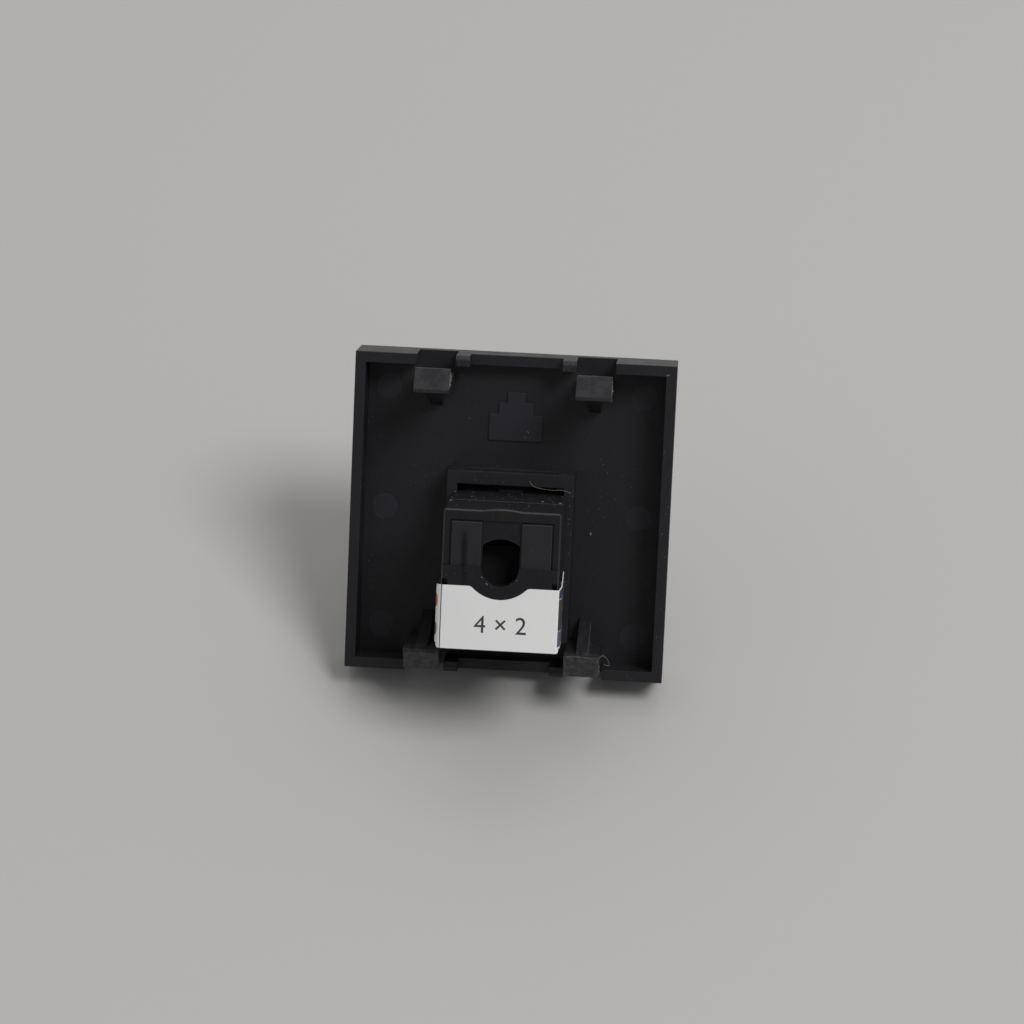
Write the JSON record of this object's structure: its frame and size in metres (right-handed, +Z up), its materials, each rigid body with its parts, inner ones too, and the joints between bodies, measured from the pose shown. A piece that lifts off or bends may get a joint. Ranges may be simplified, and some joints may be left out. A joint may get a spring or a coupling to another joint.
{
  "type": "data outlet module with modular jack",
  "caption": "Square snap-in outlet plate with rear hooks and a holder that carries a modular jack: plug port in front, wire terminals behind under a pull-off labelled wire cap.",
  "frame": {"origin": "centre of the plate's front face", "axes": "+Z up, +Y from the front face back into the wall, +X to the right seen from the front"},
  "size_m": [0.045, 0.0261, 0.045],
  "materials": {
    "plate_plastic": "satin black",
    "jack_plastic": "satin black",
    "cap_plastic": "satin black",
    "label_paper": "matt white label",
    "spring_gold": "gold plated",
    "terminal_tin": "tin plated",
    "board": "green solder mask"
  },
  "bodies": {
    "module": {"faceplate": "plate_plastic", "jack_housing": "jack_plastic", "contact_carrier": "jack_plastic", "circuit_board": "board", "idc_block": "jack_plastic", "contact_1": "spring_gold", "contact_2": "spring_gold", "contact_3": "spring_gold", "contact_4": "spring_gold", "contact_5": "spring_gold", "contact_6": "spring_gold", "contact_7": "spring_gold", "contact_8": "spring_gold", "idc_1": "terminal_tin", "idc_2": "terminal_tin", "idc_3": "terminal_tin", "idc_4": "terminal_tin", "idc_5": "terminal_tin", "idc_6": "terminal_tin", "idc_7": "terminal_tin", "idc_8": "terminal_tin"},
    "cap": {"wire_cap": "cap_plastic", "label": "label_paper"}
  },
  "joints": [
    {"name": "cap_slide", "type": "slide", "parent": "module", "child": "cap", "axis": [0, 1, 0], "range_m": [0, 0.009]}
  ]
}
